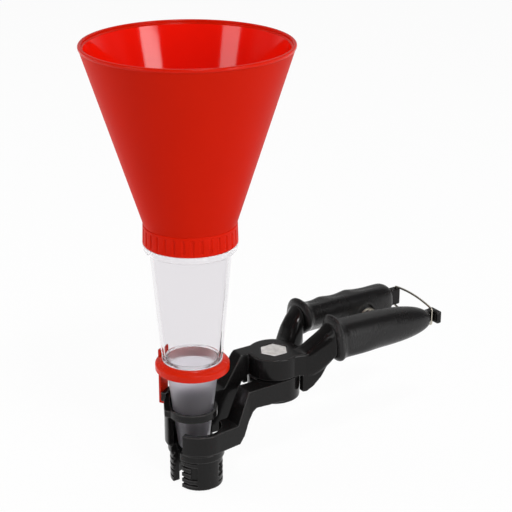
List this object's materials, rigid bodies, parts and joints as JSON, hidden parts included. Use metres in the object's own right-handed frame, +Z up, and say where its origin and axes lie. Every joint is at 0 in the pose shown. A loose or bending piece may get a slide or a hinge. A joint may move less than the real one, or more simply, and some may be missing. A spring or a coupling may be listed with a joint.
{
  "type": "oil filling funnel on a plier clamp",
  "caption": "Wide conical funnel with a clear screw-on spout, held in a plier clamp whose ribbed jaws spread inside a filler neck; a wire bail keeps its sprung handles squeezed.",
  "frame": {"origin": "On the funnel's axis, level with the shoulder of the jaws that meets the rim of the filler neck.", "axes": "+Z runs up the funnel, +X from the funnel to the handles, and the front jaw and the near handle are on -Y."},
  "size_m": [0.2693, 0.14, 0.318],
  "materials": {
    "red_hopper": "red moulded plastic, satin outside and glossy inside",
    "clear_spout": "clear moulded plastic",
    "red_ring": "red moulded plastic, semi-gloss",
    "black_lever": "black filled nylon with a fine grain",
    "black_grip": "black soft-sheen grip plastic",
    "bolt_steel": "zinc-plated steel, slightly mottled",
    "wire_steel": "drawn spring-steel wire"
  },
  "bodies": {
    "near_side": {"near_lever": "black_lever", "near_grip": "black_grip", "pivot_bolt": "bolt_steel", "pivot_nut": "bolt_steel", "lock_ring": "red_ring"},
    "far_side": {"far_lever": "black_lever", "far_grip": "black_grip", "handle_spring": "wire_steel"},
    "bail": {"bail": "wire_steel"},
    "clip": {"lock_clip": "red_ring"},
    "spout": {"spout": "clear_spout"},
    "hopper": {"hopper": "red_hopper"}
  },
  "joints": [
    {"name": "plier_pivot", "type": "hinge", "parent": "near_side", "child": "far_side", "pos_m": [0.068, 0, 0.03825], "axis": [0, 0, 1], "range_deg": [0, 12], "deforming": ["handle_spring"]},
    {"name": "bail_swing", "type": "hinge", "parent": "far_side", "child": "bail", "pos_m": [0.1953, 0.0215, 0.06], "axis": [0, 0, 1], "range_deg": [0, 150]},
    {"name": "clip_flex", "type": "hinge", "parent": "near_side", "child": "clip", "pos_m": [-0.01232, 0.01972, 0.06215], "axis": [0.848, 0.5299, 0], "range_deg": [0, 5.5], "stiffness_Nm_per_rad": 0.4},
    {"name": "spout_lift", "type": "slide", "parent": "near_side", "child": "spout", "axis": [0, 0, 1], "range_m": [0, 0.08]},
    {"name": "hopper_lift", "type": "slide", "parent": "spout", "child": "hopper", "axis": [0, 0, 1], "range_m": [0, 0.04]}
  ],
  "couplings": [
    {"joint": "bail_swing", "follows": "plier_pivot", "ratio": 12.5}
  ]
}
